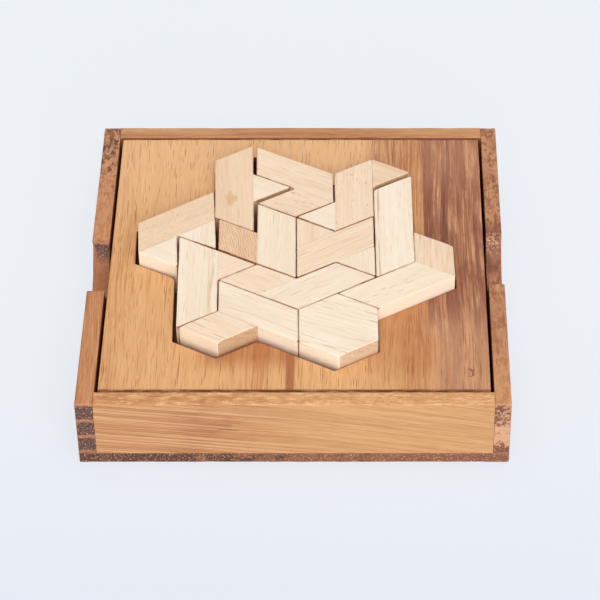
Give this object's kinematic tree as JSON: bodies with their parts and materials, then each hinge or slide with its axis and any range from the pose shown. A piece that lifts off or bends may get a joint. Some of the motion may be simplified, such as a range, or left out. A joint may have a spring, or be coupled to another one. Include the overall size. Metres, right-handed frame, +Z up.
{
  "type": "wooden hexiamond packing puzzle in a box",
  "caption": "Square wooden box whose lift-out tray holds glued-up hexiamond pieces packed into an irregular cut-out, with finger notches in both side walls.",
  "frame": {"origin": "centre of the box's footprint, on the surface that it stands on", "axes": "+Z up, +Y from the front wall to the back wall (the longer side), +X from the left wall to the right wall"},
  "size_m": [0.13, 0.1312, 0.0291],
  "materials": {
    "base_board": "oiled golden brown open-pored wood",
    "left_wall": "oiled golden brown open-pored wood",
    "right_wall": "oiled golden brown open-pored wood",
    "front_wall": "oiled golden brown open-pored wood",
    "back_wall": "oiled golden brown open-pored wood",
    "front_rail": "oiled golden brown open-pored wood",
    "back_rail": "oiled golden brown open-pored wood",
    "tray_frame": "oiled golden brown open-pored wood",
    "tray_base": "oiled golden brown open-pored wood",
    "yacht_hull_block": "smooth sawn and sanded pale wood, unvarnished",
    "yacht_sail_block": "smooth sawn and sanded pale wood, unvarnished",
    "hook_long_block": "smooth sawn and sanded pale wood, unvarnished",
    "hook_rhombus_block": "smooth sawn and sanded pale wood, unvarnished",
    "crown_long_block": "smooth sawn and sanded pale wood, unvarnished",
    "crown_rhombus_block": "smooth sawn and sanded pale wood, unvarnished",
    "snake_long_block": "smooth sawn and sanded pale wood, unvarnished",
    "snake_back_tip": "smooth sawn and sanded pale wood, unvarnished",
    "snake_front_tip": "smooth sawn and sanded pale wood, unvarnished",
    "bar_block": "smooth sawn and sanded pale wood, unvarnished",
    "butterfly_middle_block": "smooth sawn and sanded pale wood, unvarnished",
    "butterfly_back_tip": "smooth sawn and sanded pale wood, unvarnished",
    "butterfly_front_tip": "smooth sawn and sanded pale wood, unvarnished",
    "crook_long_block": "smooth sawn and sanded pale wood, unvarnished",
    "crook_rhombus_block": "smooth sawn and sanded pale wood, unvarnished",
    "chevron_long_block": "smooth sawn and sanded pale wood, unvarnished",
    "chevron_rhombus_block": "smooth sawn and sanded pale wood, unvarnished",
    "signpost_long_block": "smooth sawn and sanded pale wood, unvarnished",
    "signpost_rhombus_block": "smooth sawn and sanded pale wood, unvarnished",
    "hexagon_block": "smooth sawn and sanded pale wood, unvarnished",
    "sphinx_long_block": "smooth sawn and sanded pale wood, unvarnished",
    "sphinx_tip": "smooth sawn and sanded pale wood, unvarnished",
    "lobster_long_block": "smooth sawn and sanded pale wood, unvarnished",
    "lobster_back_tip": "smooth sawn and sanded pale wood, unvarnished",
    "lobster_front_tip": "smooth sawn and sanded pale wood, unvarnished"
  },
  "bodies": {
    "box": {"base_board": "base_board", "left_wall": "left_wall", "right_wall": "right_wall", "front_wall": "front_wall", "back_wall": "back_wall", "front_rail": "front_rail", "back_rail": "back_rail"},
    "tray": {"tray_frame": "tray_frame", "tray_base": "tray_base"},
    "yacht_piece": {"yacht_hull_block": "yacht_hull_block", "yacht_sail_block": "yacht_sail_block"},
    "hook_piece": {"hook_long_block": "hook_long_block", "hook_rhombus_block": "hook_rhombus_block"},
    "crown_piece": {"crown_long_block": "crown_long_block", "crown_rhombus_block": "crown_rhombus_block"},
    "snake_piece": {"snake_long_block": "snake_long_block", "snake_back_tip": "snake_back_tip", "snake_front_tip": "snake_front_tip"},
    "bar_piece": {"bar_block": "bar_block"},
    "butterfly_piece": {"butterfly_middle_block": "butterfly_middle_block", "butterfly_back_tip": "butterfly_back_tip", "butterfly_front_tip": "butterfly_front_tip"},
    "crook_piece": {"crook_long_block": "crook_long_block", "crook_rhombus_block": "crook_rhombus_block"},
    "chevron_piece": {"chevron_long_block": "chevron_long_block", "chevron_rhombus_block": "chevron_rhombus_block"},
    "signpost_piece": {"signpost_long_block": "signpost_long_block", "signpost_rhombus_block": "signpost_rhombus_block"},
    "hexagon_piece": {"hexagon_block": "hexagon_block"},
    "sphinx_piece": {"sphinx_long_block": "sphinx_long_block", "sphinx_tip": "sphinx_tip"},
    "lobster_piece": {"lobster_long_block": "lobster_long_block", "lobster_back_tip": "lobster_back_tip", "lobster_front_tip": "lobster_front_tip"}
  },
  "joints": [
    {"name": "tray_lift", "type": "slide", "parent": "box", "child": "tray", "axis": [0, 0, 1], "range_m": [0, 0.06]},
    {"name": "yacht_lift", "type": "slide", "parent": "tray", "child": "yacht_piece", "axis": [0, 0, 1], "range_m": [0, 0.03]},
    {"name": "hook_lift", "type": "slide", "parent": "tray", "child": "hook_piece", "axis": [0, 0, 1], "range_m": [0, 0.03]},
    {"name": "crown_lift", "type": "slide", "parent": "tray", "child": "crown_piece", "axis": [0, 0, 1], "range_m": [0, 0.03]},
    {"name": "snake_lift", "type": "slide", "parent": "tray", "child": "snake_piece", "axis": [0, 0, 1], "range_m": [0, 0.03]},
    {"name": "bar_lift", "type": "slide", "parent": "tray", "child": "bar_piece", "axis": [0, 0, 1], "range_m": [0, 0.03]},
    {"name": "butterfly_lift", "type": "slide", "parent": "tray", "child": "butterfly_piece", "axis": [0, 0, 1], "range_m": [0, 0.03]},
    {"name": "crook_lift", "type": "slide", "parent": "tray", "child": "crook_piece", "axis": [0, 0, 1], "range_m": [0, 0.03]},
    {"name": "chevron_lift", "type": "slide", "parent": "tray", "child": "chevron_piece", "axis": [0, 0, 1], "range_m": [0, 0.03]},
    {"name": "signpost_lift", "type": "slide", "parent": "tray", "child": "signpost_piece", "axis": [0, 0, 1], "range_m": [0, 0.03]},
    {"name": "hexagon_lift", "type": "slide", "parent": "tray", "child": "hexagon_piece", "axis": [0, 0, 1], "range_m": [0, 0.03]},
    {"name": "sphinx_lift", "type": "slide", "parent": "tray", "child": "sphinx_piece", "axis": [0, 0, 1], "range_m": [0, 0.03]},
    {"name": "lobster_lift", "type": "slide", "parent": "tray", "child": "lobster_piece", "axis": [0, 0, 1], "range_m": [0, 0.03]}
  ]
}
